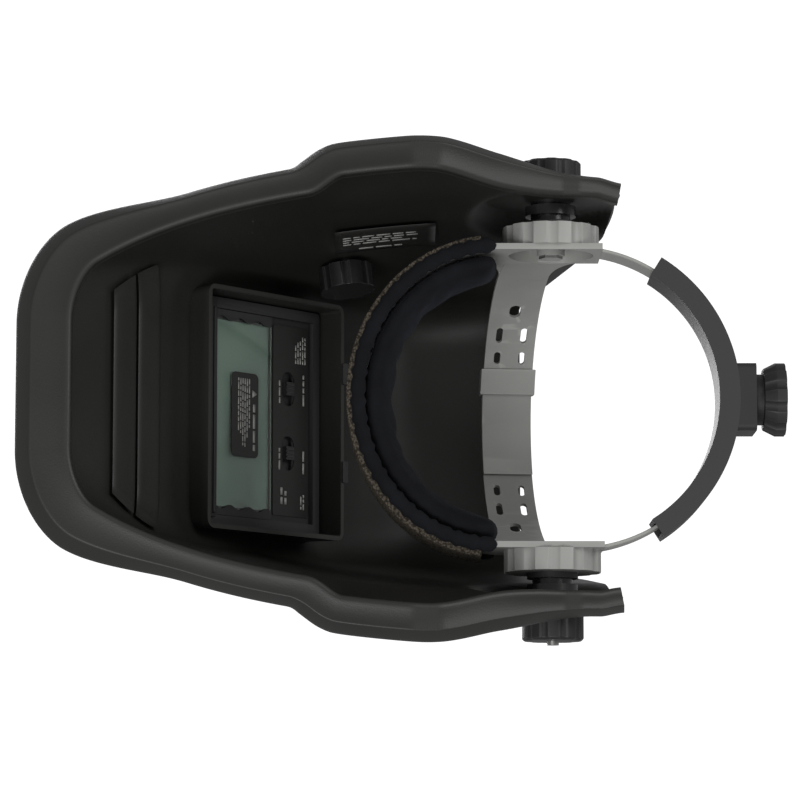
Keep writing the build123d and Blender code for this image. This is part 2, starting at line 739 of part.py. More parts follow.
with BuildPart() as spring_washers:
    with BuildSketch(Plane.YZ.offset(ear_plate_out + face_gap)):
        Circle(bush_radius + 2)
        Circle(bolt_radius, mode=Mode.SUBTRACT)
    washer = extrude(amount=spring_washer_thick)
    mirror(washer, about=Plane.YZ)

knob_parts = []
for side in (1, -1):
    with BuildPart() as knob:
        with BuildSketch(Plane.YZ.offset(side * knob_start)):
            lobed(knob_radius, 0.9, knob_lobes, 4)
        extrude(amount=side * knob_length)
        chamfer(knob.faces().sort_by(Axis.X)[-1 if side > 0 else 0].edges(), length=1.2)
        with BuildSketch(Plane.YZ.offset(side * knob_start)):
            Circle(bolt_radius + running_gap)
        extrude(amount=side * knob_length, mode=Mode.SUBTRACT)
    knob_parts.append(knob)
tension_knob_left, tension_knob_right = knob_parts

# ================================================================ rear ratchet
with BuildPart() as rear_strap_left:
    with BuildSketch(Plane.XY.offset(-rear_strap_height / 2)):
        add(ring_sector(0, inner_lap, inner_lap + rear_strap_thick, -8, rear_strap_end))
        with Locations((0, band_rear_y)):
            Rectangle(400, 60, align=(Align.CENTER, Align.MAX), mode=Mode.SUBTRACT)
    extrude(amount=rear_strap_height)
    with BuildSketch(Plane.XZ.offset(-rear_centre_y)):
        SlotOverall(rack_length, 2 * pinion_radius + 1.2)
    extrude(amount=-200, mode=Mode.SUBTRACT)

with BuildPart() as rear_strap_right:
    with BuildSketch(Plane.XY.offset(-rear_strap_height / 2)):
        add(ring_sector(lap_shift, outer_lap, outer_lap + rear_strap_thick, 180 - rear_strap_end, 188))
        with Locations((0, band_rear_y)):
            Rectangle(400, 60, align=(Align.CENTER, Align.MAX), mode=Mode.SUBTRACT)
    extrude(amount=rear_strap_height)
    with BuildSketch(Plane.XZ.offset(-rear_centre_y)):
        SlotOverall(rack_length, 2 * pinion_radius + 1.2)
    extrude(amount=-200, mode=Mode.SUBTRACT)

with BuildPart() as rear_sleeve_inner:
    with BuildSketch(Plane.XY.offset(-sleeve_height / 2)):
        add(ring_sector(0, sleeve_in - sleeve_wall, sleeve_in, sleeve_start, 180 - sleeve_start))
    extrude(amount=sleeve_height)

with BuildPart() as rear_sleeve_outer:
    with BuildSketch(Plane.XY.offset(-sleeve_height / 2)):
        add(ring_sector(0, sleeve_out, sleeve_out + sleeve_wall, sleeve_start, 180 - sleeve_start))
    extrude(amount=sleeve_height)
    for low in (-sleeve_height / 2, sleeve_height / 2 - end_wall):
        with BuildSketch(Plane.XY.offset(low)):
            add(ring_sector(0, sleeve_in, sleeve_out + 0.5, sleeve_start, 180 - sleeve_start))
        extrude(amount=end_wall)
    with BuildSketch(Plane.XZ.offset(-rear_centre_y)):
        Circle(shaft_radius + 0.3)
    extrude(amount=-200, mode=Mode.SUBTRACT)

with BuildPart() as ratchet_housing:
    with BuildSketch(Plane.XZ.offset(-(yoke_y - 4))):
        RectangleRounded(housing_width, sleeve_height, 3)
    extrude(amount=-(housing_depth + 4))
    with BuildSketch(Plane.XZ.offset(-(yoke_y + housing_depth))):
        Circle(neck_radius)
    extrude(amount=-neck_length)
    # its base follows the curve of the sleeve
    with BuildSketch(Plane.XY.offset(-sleeve_height)):
        with Locations((0, rear_centre_y)):
            Circle(sleeve_out + sleeve_wall)
    extrude(amount=2 * sleeve_height, mode=Mode.SUBTRACT)
    # round cavity for the pawl ring and spring, and the shaft hole
    with BuildSketch(Plane.XZ.offset(-(yoke_y - 4))):
        Circle(neck_radius - 2)
    extrude(amount=-(housing_depth + 4 + neck_length - 2), mode=Mode.SUBTRACT)
    with BuildSketch(Plane.XZ.offset(-yoke_y)):
        Circle(shaft_radius + running_gap)
    extrude(amount=-40, mode=Mode.SUBTRACT)

with BuildPart() as pawl_ring:
    with BuildSketch(Plane.XZ.offset(-(yoke_y + 0.3))):
        Circle(neck_radius - 2)
        with PolarLocations(neck_radius - 5.2, 18):
            RegularPolygon(0.9, 3)
        Circle(neck_radius - 5, mode=Mode.SUBTRACT)
    extrude(amount=-4)

with BuildPart() as ratchet_spring:
    with BuildSketch(Plane.XZ.offset(-(yoke_y + 4.6))):
        Circle(neck_radius - 5)
        Circle(neck_radius - 6.2, mode=Mode.SUBTRACT)
    extrude(amount=-(housing_depth + neck_length - 7))

with BuildPart() as pinion:
    with BuildSketch(Plane.XZ.offset(-pinion_y)):
        Circle(pinion_radius)
        with PolarLocations(pinion_radius, 12):
            Circle(0.9, mode=Mode.SUBTRACT)
    extrude(amount=-(sleeve_out - sleeve_in - 0.3))
    with BuildSketch(Plane.XZ.offset(-pinion_y)):
        Circle(shaft_radius)
    extrude(amount=-(knob_y + 6 - pinion_y))
    with BuildSketch(Plane.XZ.offset(-(knob_y - 2))):
        Circle(screw_radius)
    extrude(amount=-20, mode=Mode.SUBTRACT)

with BuildPart() as ratchet_knob:
    with BuildSketch(Plane.XZ.offset(-knob_y)):
        lobed(ratchet_knob_radius - 3, 1.0, 10, 4)
    with BuildSketch(Plane.XZ.offset(-(knob_y + ratchet_knob_length * 0.55))):
        lobed(ratchet_knob_radius, 1.2, 10, 4)
    loft(ruled=True)
    with BuildSketch(Plane.XZ.offset(-(knob_y + ratchet_knob_length * 0.55))):
        lobed(ratchet_knob_radius, 1.2, 10, 4)
    extrude(amount=-ratchet_knob_length * 0.45)
    with BuildSketch(Plane.XZ.offset(-knob_y)):
        Circle(shaft_radius)
    extrude(amount=-6, mode=Mode.SUBTRACT)
    with BuildSketch(Plane.XZ.offset(-knob_y)):
        Circle(1.6)
    extrude(amount=-ratchet_knob_length, mode=Mode.SUBTRACT)
    with BuildSketch(Plane.XZ.offset(-(knob_y + ratchet_knob_length - 2))):
        Circle(screw_head_radius + 0.4)
    extrude(amount=-2, mode=Mode.SUBTRACT)

with BuildPart() as knob_screw:
    with BuildSketch(Plane.XZ.offset(-(knob_y - 1.5))):
        Circle(screw_radius)
    extrude(amount=-(ratchet_knob_length - 0.5))
    with BuildSketch(Plane.XZ.offset(-(knob_y + ratchet_knob_length - 2))):
        Circle(screw_head_radius)
    extrude(amount=-1.5)

# ================================================================ export
pieces = {
    "shell": shell,
    "front_cover_lens": front_cover_lens,
    "cover_lens_gasket": cover_lens_gasket,
    "filter_holder": filter_holder,
    "hinge_pins": hinge_pins,
    "retainer_bar": retainer_bar,
    "filter_case_inner": filter_case_inner,
    "filter_case_outer": filter_case_outer,
    "filter_glass": filter_glass,
    "inner_cover_lens": inner_cover_lens,
    "filter_label": filter_label,
    "control_panel": control_panel,
    "circuit_board": circuit_board,
    "batteries": batteries,
    "solar_cell": solar_cell,
    "arc_sensors": arc_sensors,
    "sensitivity_slider": sensitivity_slider,
    "delay_slider": delay_slider,
    "shade_pot": shade_pot,
    "shade_pot_cover": shade_pot_cover,
    "shade_knob": shade_knob,
    "headband": headband,
    "crown_strap_left": crown_strap_left,
    "crown_strap_right": crown_strap_right,
    "crown_keeper": crown_keeper,
    "sweatband": sweatband,
    "sweatband_foam": sweatband_foam,
    "pivot_bolts": pivot_bolts,
    "boss_washers": boss_washers,
    "pivot_bushes": pivot_bushes,
    "spring_washers": spring_washers,
    "tension_knob_left": tension_knob_left,
    "tension_knob_right": tension_knob_right,
    "rear_strap_left": rear_strap_left,
    "rear_strap_right": rear_strap_right,
    "rear_sleeve_inner": rear_sleeve_inner,
    "rear_sleeve_outer": rear_sleeve_outer,
    "ratchet_housing": ratchet_housing,
    "pawl_ring": pawl_ring,
    "ratchet_spring": ratchet_spring,
    "pinion": pinion,
    "ratchet_knob": ratchet_knob,
    "knob_screw": knob_screw,
}
for name, piece in pieces.items():
    piece.part.label = name
    export_step(piece.part, f"parts/{name}.step")
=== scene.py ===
import bpy
import bmesh
import math
import numpy as np
from mathutils import Matrix, Vector


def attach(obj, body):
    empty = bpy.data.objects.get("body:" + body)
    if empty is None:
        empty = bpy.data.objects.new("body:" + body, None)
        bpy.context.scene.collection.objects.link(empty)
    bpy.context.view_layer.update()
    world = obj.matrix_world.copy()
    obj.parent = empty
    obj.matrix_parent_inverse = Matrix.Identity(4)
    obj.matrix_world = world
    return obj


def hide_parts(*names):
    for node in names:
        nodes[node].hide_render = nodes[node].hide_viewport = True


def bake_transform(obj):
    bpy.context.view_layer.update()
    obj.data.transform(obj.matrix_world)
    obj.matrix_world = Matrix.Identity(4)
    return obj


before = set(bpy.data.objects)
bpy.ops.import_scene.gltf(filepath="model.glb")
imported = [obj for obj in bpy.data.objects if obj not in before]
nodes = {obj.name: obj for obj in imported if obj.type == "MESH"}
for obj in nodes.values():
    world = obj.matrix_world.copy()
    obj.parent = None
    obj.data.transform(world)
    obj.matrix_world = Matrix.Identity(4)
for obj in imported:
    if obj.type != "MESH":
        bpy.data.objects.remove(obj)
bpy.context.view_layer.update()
mm = 0.001
rng = np.random.default_rng(41)
print("frame loaded:", len(nodes), "nodes")

# camera and lights
view = {
    "tilt": math.radians(7.5),       # the camera stands a little to the wearer's right
    "distance": 1.85,
    "lens": 166,
    "target": (0.0, -0.076, 0.0),
}


def placeCamera():
    # looks up into the helmet; image right is the back of the head, image up the wearer's left
    s, c = math.sin(view["tilt"]), math.cos(view["tilt"])
    camera = bpy.data.objects.new("camera", bpy.data.cameras.new("camera"))
    camera.data.lens = view["lens"]
    camera.data.clip_end = 50
    place = Vector(view["target"]) - Vector((s, 0, c)) * view["distance"]
    camera.matrix_world = Matrix((
        (0, c, -s, place.x),
        (1, 0, 0, place.y),
        (0, -s, -c, place.z),
        (0, 0, 0, 1),
    ))
    bpy.context.scene.collection.objects.link(camera)
    bpy.context.scene.camera = camera


def addLight(name, place, target, size, power):
    data = bpy.data.lights.new(name, "AREA")
    data.shape = "DISK"
    data.size = size
    data.energy = power
    lamp = bpy.data.objects.new(name, data)
    lamp.location = place
    lamp.rotation_euler = (Vector(target) - Vector(place)).to_track_quat("-Z", "Y").to_euler()
    bpy.context.scene.collection.objects.link(lamp)


placeCamera()
lamps = [
    # name, place, target, width, watts
    ("softBelow", (-0.9, -0.5, -1.6), (0, -0.05, 0), 1.1, 17),
    ("softBack", (0.7, 1.2, -1.2), (0, 0, 0), 1.0, 11),
    ("softAbove", (0.6, -0.9, 2.2), (0, 0, 0), 1.6, 30),
]
for lamp in lamps:
    addLight(*lamp)

studioLight = {"onObject": 0.34, "behindObject": 1.4}


def addWorld():
    # even white light on the object, and a brighter backdrop behind it
    world = bpy.data.worlds.new("studio")
    bpy.context.scene.world = world
    bpy.context.scene.view_settings.view_transform = "Standard"
    world.use_nodes = True
    tree = world.node_tree
    studio = tree.nodes["Background"]
    studio.inputs["Color"].default_value = (1, 1, 1, 1)
    studio.inputs["Strength"].default_value = studioLight["onObject"]
    backdrop = tree.nodes.new("ShaderNodeBackground")
    backdrop.inputs["Strength"].default_value = studioLight["behindObject"]
    rays = tree.nodes.new("ShaderNodeLightPath")
    either = tree.nodes.new("ShaderNodeMixShader")
    tree.links.new(rays.outputs["Is Camera Ray"], either.inputs["Fac"])
    tree.links.new(studio.outputs["Background"], either.inputs[1])
    tree.links.new(backdrop.outputs["Background"], either.inputs[2])
    tree.links.new(either.outputs["Shader"], tree.nodes["World Output"].inputs["Surface"])


addWorld()
print("camera and lights placed")


# materials
def newMaterial(name, color, roughness, specular=0.5):
    material = bpy.data.materials.new(name)
    material.use_nodes = True
    shader = material.node_tree.nodes["Principled BSDF"]
    shader.inputs["Base Color"].default_value = (*color, 1)
    shader.inputs["Roughness"].default_value = roughness
    shader.inputs["Specular IOR Level"].default_value = specular
    return material, material.node_tree, shader


def noiseOn(tree, scale, detail):
    noise = tree.nodes.new("ShaderNodeTexNoise")
    noise.inputs["Scale"].default_value = scale
    noise.inputs["Detail"].default_value = detail
    place = tree.nodes.new("ShaderNodeTexCoord")
    tree.links.new(place.outputs["Object"], noise.inputs["Vector"])
    return noise


def bumpFrom(tree, shader, source, strength, depth):
    bump = tree.nodes.new("ShaderNodeBump")
    bump.inputs["Strength"].default_value = strength
    bump.inputs["Distance"].default_value = depth
    tree.links.new(source, bump.inputs["Height"])
    tree.links.new(bump.outputs["Normal"], shader.inputs["Normal"])


def rampBetween(tree, source, low, high, start=0.3, stop=0.7):
    ramp = tree.nodes.new("ShaderNodeValToRGB")
    ramp.color_ramp.elements[0].position = start
    ramp.color_ramp.elements[0].color = (*low, 1)
    ramp.color_ramp.elements[1].position = stop
    ramp.color_ramp.elements[1].color = (*high, 1)
    tree.links.new(source, ramp.inputs["Fac"])
    return ramp


def spreadRoughness(tree, shader, source, low, high):
    spread = tree.nodes.new("ShaderNodeMapRange")
    spread.inputs["To Min"].default_value = low
    spread.inputs["To Max"].default_value = high
    tree.links.new(source, spread.inputs["Value"])
    tree.links.new(spread.outputs["Result"], shader.inputs["Roughness"])


edgeHighlight = {"from": 0.515, "to": 0.6, "most": 0.6, "lift": 0.03, "paler": 1.25}    # outer edges painted paler, a painted highlight


def mouldedPlastic(name, low, high, roughness, grain, depth, blotch=14):
    # moulded plastic: fine spark-eroded grain, soft blotches in colour and in gloss
    material, tree, shader = newMaterial(name, low, roughness[0])
    wide = noiseOn(tree, blotch, 5)
    ramp = rampBetween(tree, wide.outputs["Fac"], low, high)
    spreadRoughness(tree, shader, wide.outputs["Fac"], *roughness)
    fine = noiseOn(tree, grain, 2)
    bumpFrom(tree, shader, fine.outputs["Fac"], 0.5, depth)
    # outer edges are painted a little paler, a painted highlight
    edge = tree.nodes.new("ShaderNodeNewGeometry")
    highlightRange = tree.nodes.new("ShaderNodeMapRange")
    highlightRange.inputs["From Min"].default_value = edgeHighlight["from"]
    highlightRange.inputs["From Max"].default_value = edgeHighlight["to"]
    highlightRange.inputs["To Max"].default_value = edgeHighlight["most"]
    tree.links.new(edge.outputs["Pointiness"], highlightRange.inputs["Value"])
    highlightMix = tree.nodes.new("ShaderNodeMix")
    highlightMix.data_type = "RGBA"
    tree.links.new(highlightRange.outputs["Result"], highlightMix.inputs["Factor"])
    tree.links.new(ramp.outputs["Color"], highlightMix.inputs["A"])
    # the paler colour of the painted edge highlight
    highlightMix.inputs["B"].default_value = (*[edgeHighlight["lift"] + edgeHighlight["paler"] * c for c in high], 1)
    tree.links.new(highlightMix.outputs["Result"], shader.inputs["Base Color"])
    return material


materials = {
    # name, darker and paler colour, range of roughness, grain's scale and depth, blotches' scale
    "shell": mouldedPlastic("shellPlastic", (0.0125, 0.0125, 0.011), (0.0175, 0.0175, 0.0155),
                            (0.4, 0.54), 1400, 0.00014),
    "dark": mouldedPlastic("darkPlastic", (0.009, 0.009, 0.0095), (0.014, 0.014, 0.0145),
                           (0.46, 0.6), 2200, 0.00004),
    "gloss": mouldedPlastic("glossBlack", (0.006, 0.006, 0.006), (0.010, 0.010, 0.010),
                            (0.2, 0.3), 900, 0.00003),
    "grey": mouldedPlastic("greyNylon", (0.29, 0.29, 0.28), (0.35, 0.35, 0.335),
                           (0.36, 0.5), 700, 0.00005, 22),
}


def steelLook():
    material, tree, shader = newMaterial("zincSteel", (0.45, 0.45, 0.44), 0.3)
    shader.inputs["Metallic"].default_value = 1.0
    noise = noiseOn(tree, 350, 6)
    spreadRoughness(tree, shader, noise.outputs["Fac"], 0.22, 0.45)
    bumpFrom(tree, shader, noise.outputs["Fac"], 0.2, 0.00005)
    return material


def lensLook(name, color, roughness, smearScale):
    material, tree, shader = newMaterial(name, color, roughness)
    shader.inputs["Transmission Weight"].default_value = 1.0
    shader.inputs["IOR"].default_value = 1.45
    smear = noiseOn(tree, smearScale, 6)
    spreadRoughness(tree, shader, smear.outputs["Fac"], roughness, roughness + 0.07)
    return material


def filterLook():
    # the switched-off liquid crystal glass: soft grey green, lightened as painted light against its shade,
    # with a paler, cloudy middle as a painted reflection
    material, tree, shader = newMaterial("filterGlass", (0.17, 0.26, 0.20), 0.12)
    reflectionCloud = noiseOn(tree, 18, 3)
    # both tones are lightened as painted light; the paler clouds are a painted reflection
    ramp = rampBetween(tree, reflectionCloud.outputs["Fac"], (0.24, 0.36, 0.29), (0.31, 0.45, 0.365))
    tree.links.new(ramp.outputs["Color"], shader.inputs["Base Color"])
    spreadRoughness(tree, shader, reflectionCloud.outputs["Fac"], 0.08, 0.2)
    return material


def fabricLook():
    # navy black brushed knit: fine loops with a pale fuzz at grazing angles
    material, tree, shader = newMaterial("sweatKnit", (0.005, 0.006, 0.010), 0.9, 0.2)
    shader.inputs["Sheen Weight"].default_value = 0.035
    shader.inputs["Sheen Roughness"].default_value = 0.45
    shader.inputs["Sheen Tint"].default_value = (0.5, 0.55, 0.75, 1)
    wide = noiseOn(tree, 60, 4)
    ramp = rampBetween(tree, wide.outputs["Fac"], (0.0035, 0.0038, 0.005), (0.007, 0.0075, 0.010))
    tree.links.new(ramp.outputs["Color"], shader.inputs["Base Color"])
    loops = noiseOn(tree, 2400, 3)
    bumpFrom(tree, shader, loops.outputs["Fac"], 0.8, 0.0003)
    return material


def foamLook():
    # raw cut foam: brown grey, open cells darkened as painted shade in the pores
    material, tree, shader = newMaterial("rawFoam", (0.10, 0.085, 0.065), 0.95, 0.2)
    place = tree.nodes.new("ShaderNodeTexCoord")
    cells = tree.nodes.new("ShaderNodeTexVoronoi")
    cells.inputs["Scale"].default_value = 900
    tree.links.new(place.outputs["Object"], cells.inputs["Vector"])
    # the pores' dark tone is painted shade inside the open cells
    wall, poreShade = (0.16, 0.135, 0.105), (0.03, 0.026, 0.02)
    ramp = rampBetween(tree, cells.outputs["Distance"], wall, poreShade, 0.1, 0.75)
    tree.links.new(ramp.outputs["Color"], shader.inputs["Base Color"])
    bumpFrom(tree, shader, cells.outputs["Distance"], 0.9, -0.0005)
    return material


def flatLook(name, color, roughness, grain=600):
    material, tree, shader = newMaterial(name, color, roughness)
    noise = noiseOn(tree, grain, 3)
    spreadRoughness(tree, shader, noise.outputs["Fac"], roughness, roughness + 0.12)
    bumpFrom(tree, shader, noise.outputs["Fac"], 0.15, 0.00003)
    return material


def circuitLook():
    material, tree, shader = newMaterial("circuitBoard", (0.01, 0.08, 0.03), 0.35)
    place = tree.nodes.new("ShaderNodeTexCoord")
    tracks = tree.nodes.new("ShaderNodeTexBrick")
    tracks.inputs["Scale"].default_value = 260
    tracks.inputs["Color1"].default_value = (0.01, 0.08, 0.03, 1)
    tracks.inputs["Color2"].default_value = (0.012, 0.10, 0.04, 1)
    tracks.inputs["Mortar"].default_value = (0.05, 0.19, 0.08, 1)
    tree.links.new(place.outputs["Object"], tracks.inputs["Vector"])
    tree.links.new(tracks.outputs["Color"], shader.inputs["Base Color"])
    return material


materials["steel"] = steelLook()
materials["lens"] = lensLook("clearLens", (0.93, 0.97, 0.95), 0.02, 40)
materials["filter"] = filterLook()
materials["fabric"] = fabricLook()
materials["foam"] = foamLook()
materials["label"] = flatLook("labelFilm", (0.022, 0.021, 0.020), 0.35)
materials["print"] = flatLook("whitePrint", (0.42, 0.42, 0.40), 0.5)
materials["circuit"] = circuitLook()
materials["solar"] = flatLook("solarFilm", (0.012, 0.012, 0.03), 0.15, 200)
materials["rubber"] = flatLook("softRubber", (0.018, 0.018, 0.018), 0.6)

nodeFinish = {
    "shell": "shell", "front_cover_lens": "lens", "inner_cover_lens": "lens",
    "cover_lens_gasket": "rubber", "filter_glass": "filter", "filter_label": "label",
    "control_panel": "label", "circuit_board": "circuit", "solar_cell": "solar",
    "hinge_pins": "steel", "batteries": "steel", "shade_pot": "steel", "pivot_bolts": "steel",
    "spring_washers": "steel", "ratchet_spring": "steel", "knob_screw": "steel",
    "arc_sensors": "gloss", "sensitivity_slider": "gloss", "delay_slider": "gloss",
    "shade_knob": "gloss", "pivot_bushes": "gloss", "pinion": "gloss",
    "headband": "grey", "crown_strap_left": "grey", "crown_strap_right": "grey",
    "crown_keeper": "grey", "rear_strap_left": "grey", "rear_strap_right": "grey",
    "sweatband": "fabric", "sweatband_foam": "foam",
}
for name, node in nodes.items():
    node.data.materials.clear()
    node.data.materials.append(materials[nodeFinish.get(name, "dark")])
print("materials made:", len(materials))


# mesh helpers
def makePiece(name, points, faces, body, look, replaces=(), sharp=35):
    mesh = bpy.data.meshes.new(name)
    mesh.from_pydata(np.asarray(points).reshape(-1, 3).tolist(), [], np.asarray(faces).tolist())
    return finishPiece(name, mesh, body, look, replaces, sharp)


def finishPiece(name, mesh, body, look, replaces=(), sharp=35):
    mesh.update()
    mesh.materials.clear()
    mesh.materials.append(materials[look])
    mesh.polygons.foreach_set("use_smooth", np.ones(len(mesh.polygons), dtype=bool))
    mesh.set_sharp_from_angle(angle=math.radians(sharp))
    piece = bpy.data.objects.new(name, mesh)
    bpy.context.scene.collection.objects.link(piece)
    if body:
        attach(piece, body)
    if replaces:
        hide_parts(*replaces)
    return piece


def gridFaces(rows, columns, closeColumns=False):
    # quads between neighbouring rows and columns, the columns wrapping round where asked
    r = np.arange(rows - 1)[:, None] * columns
    c = np.arange(columns if closeColumns else columns - 1)[None, :]
    c2 = (c + 1) % columns
    quads = np.stack([r + c, r + c2, r + columns + c2, r + columns + c], axis=-1)
    return quads.reshape(-1, 4)


def cleanMesh(mesh, distance=1e-6):
    work = bmesh.new()
    work.from_mesh(mesh)
    bmesh.ops.remove_doubles(work, verts=work.verts, dist=distance)
    bmesh.ops.recalc_face_normals(work, faces=work.faces)
    work.to_mesh(mesh)
    work.free()


def tubeMesh(name, rings):
    # a closed mesh through rows of rings given in mm, with a face over both ends
    rows, columns = rings.shape[:2]
    ring = np.arange(columns)
    faces = gridFaces(rows, columns, closeColumns=True).tolist()
    faces += [ring[::-1].tolist(), (ring + (rows - 1) * columns).tolist()]
    mesh = bpy.data.meshes.new(name)
    mesh.from_pydata((rings.reshape(-1, 3) * mm).tolist(), [], faces)
    cleanMesh(mesh)
    return mesh


def pointsOf(mesh):
    points = np.empty(len(mesh.vertices) * 3)
    mesh.vertices.foreach_get("co", points)
    return points.reshape(-1, 3)


def applied(piece):
    # the piece's mesh with its modifiers worked in
    graph = bpy.context.evaluated_depsgraph_get()
    mesh = bpy.data.meshes.new_from_object(piece.evaluated_get(graph), depsgraph=graph)
    piece.modifiers.clear()
    piece.data = mesh
    return mesh


def roundedCopy(node, body, look, width, segments=2, angle=30):
    # a CAD piece with its moulded edges rounded over
    mesh = nodes[node].data.copy()
    mesh.name = node + "Body"
    work = bmesh.new()
    work.from_mesh(mesh)
    bmesh.ops.remove_doubles(work, verts=work.verts, dist=2e-6)
    bmesh.ops.dissolve_limit(work, angle_limit=math.radians(0.6), verts=work.verts, edges=work.edges)
    work.to_mesh(mesh)
    work.free()
    piece = finishPiece(node + "Body", mesh, body, look, (node,), angle)
    bevel = piece.modifiers.new("roundedEdges", "BEVEL")
    bevel.width = width
    bevel.segments = segments
    bevel.limit_method = "ANGLE"
    bevel.angle_limit = math.radians(angle)
    bevel.harden_normals = True
    return piece


# shell
shell = {
    "wall": 2.5, "rimZ": -60.0, "halfWidth": 104.0, "draft": math.tan(math.radians(8.5)),
    "chinY": -238.0, "chinReach": 262.0, "chinTaper": 2.2, "chinRound": 0.42,
    "frontSlope": 1.54, "crownZ": 157.0, "crownMidY": -58.0, "crownSweep": 105.0,
    "browBlend": 45.0, "corner": 24.0, "earPlate": 100.5, "earRadius": 34.0,
    "flare": 7.0, "flareStart": (-121, -104), "flareEnd": (-66, -14), "flareTop": (-58, -30),
    "earSlope": 1.18, "earBlend": 5.0, "earSpan": 60.0,
    "rimLine": ([-300, -70, -56, 4, 14, 33], [-60, -60, -57.5, -31.5, -30, -22]),    # y, height
    "rearLine": ([-40, 8, 40, 70, 120, 141], [33, 33, 28, 20, 2, -12]),    # height, y
    "rows": 150, "columns": 121, "crowding": 1.35,
}


def sideWidth(y):
    # half width at rim height: full at the ears, closing in an oval to the chin
    ahead = np.maximum(0.0, -y) / shell["chinReach"]
    return shell["halfWidth"] * (1 - ahead ** shell["chinTaper"]) ** shell["chinRound"]


def roofHeight(y):
    # sloping front and round crown, the lower of the two with a soft blend
    front = shell["rimZ"] + (y - shell["chinY"]) * shell["frontSlope"]
    crown = shell["crownZ"] - (y - shell["crownMidY"]) ** 2 / (2 * shell["crownSweep"])
    mix = np.maximum(0.0, 1 - np.abs(front - crown) / shell["browBlend"])
    return np.minimum(front, crown) - shell["browBlend"] * mix * mix / 4


def smoothStep(value, start, stop):
    t = np.clip((value - start) / (stop - start), 0, 1)
    return t * t * (3 - 2 * t)


def rimHeight(y):
    # flat from the chin, then rising beside the ear
    return np.interp(y, *shell["rimLine"])


def rearEdge(z):
    return np.interp(z, *shell["rearLine"])


def bowlSection(y, v):
    # one upright section from rim (v = 0) to the middle line (v = 1):
    # a leaning side line, a corner arc and a flat roof, shared out by length
    r, lean = shell["corner"], math.atan(shell["draft"])
    top = roofHeight(y)
    centreZ = top - r
    centreX = sideWidth(y) - (centreZ - shell["rimZ"]) * shell["draft"] - r / math.cos(lean)
    low = rimHeight(y)
    turnZ = centreZ + r * math.sin(lean)
    sideLength = np.maximum(turnZ - low, 0) / math.cos(lean)
    startAngle = np.where(low < turnZ, lean, np.arcsin(np.clip((low - centreZ) / r, -1, 1)))
    arcLength = r * (math.pi / 2 - startAngle)
    total = sideLength + arcLength + centreX
    s = v * total
    angle = startAngle + np.clip(s - sideLength, 0, arcLength) / r
    onRoof = np.maximum(s - sideLength - arcLength, 0)
    onSide = np.maximum(sideLength - s, 0)
    x = centreX + r * np.cos(angle) - onRoof + onSide * math.sin(lean)
    z = centreZ + r * np.sin(angle) - onSide * math.cos(lean)
    return x, z


def bowlPoint(y, v):
    # the section, swollen by the flare behind the cheek and by the ear plate
    x, z = bowlSection(y, v)
    flare = smoothStep(y, *shell["flareStart"]) * (1 - smoothStep(y, *shell["flareEnd"]))
    low, high = shell["flareTop"]
    x = x + shell["flare"] * flare * (1 - smoothStep(z, low, high + 10 * flare))
    reach = np.hypot(y, z)
    cone = shell["earPlate"] - np.maximum(reach - shell["earRadius"], 0) * shell["earSlope"]
    gap = np.clip(1 - np.abs(cone - x) / shell["earBlend"], 0, 1)
    swollen = np.maximum(x, cone) + shell["earBlend"] * gap * gap / 4
    onSide = (v < 0.6) & (reach < shell["earSpan"])
    x = np.where(onSide, np.minimum(swollen, np.maximum(x, shell["earPlate"])), x)
    return x, z


def bowlGrid():
    # rows run from the chin to the rear edge, columns from the right rim over the roof to the left
    u = np.linspace(0, 1, shell["rows"])[:, None] ** shell["crowding"]
    across = np.linspace(-1, 1, shell["columns"])[None, :]
    v = 1 - np.abs(across)
    # the rear edge's place depends on its height and the height on its place, so it is settled in rounds
    rear = np.full_like(across, 10.0)
    for _ in range(12):
        rear = 0.5 * rear + 0.5 * rearEdge(bowlSection(rear, v)[1])
    y = shell["chinY"] + 0.02 + (rear - shell["chinY"]) * u
    x, z = bowlPoint(y, v)
    return np.stack([np.sign(across) * x, y, z], axis=-1)


lip = {
    "front": 26.0,      # distance from the wall to the outer edge, at the chin
    "side": 13.5,
    "step": 2.5,        # more behind the cheek
    "steps": 420,
    "frontAt": (175, 246), "stepAt": (-128, -118),
    "narrowing": 0.4, "narrowAt": (-30, 20),    # towards the ears
    "smoothing": 14,
}


def lipPath(grid):
    # up one side of the rim, across the chin and back down the other side, evenly spaced
    path = np.concatenate([grid[::-1, 0], grid[0, 1:-1], grid[:, -1]])
    length = np.concatenate([[0], np.cumsum(np.linalg.norm(np.diff(path, axis=0), axis=1))])
    even = np.linspace(0, length[-1], lip["steps"])
    return np.stack([np.interp(even, length, path[:, k]) for k in range(3)], axis=1)


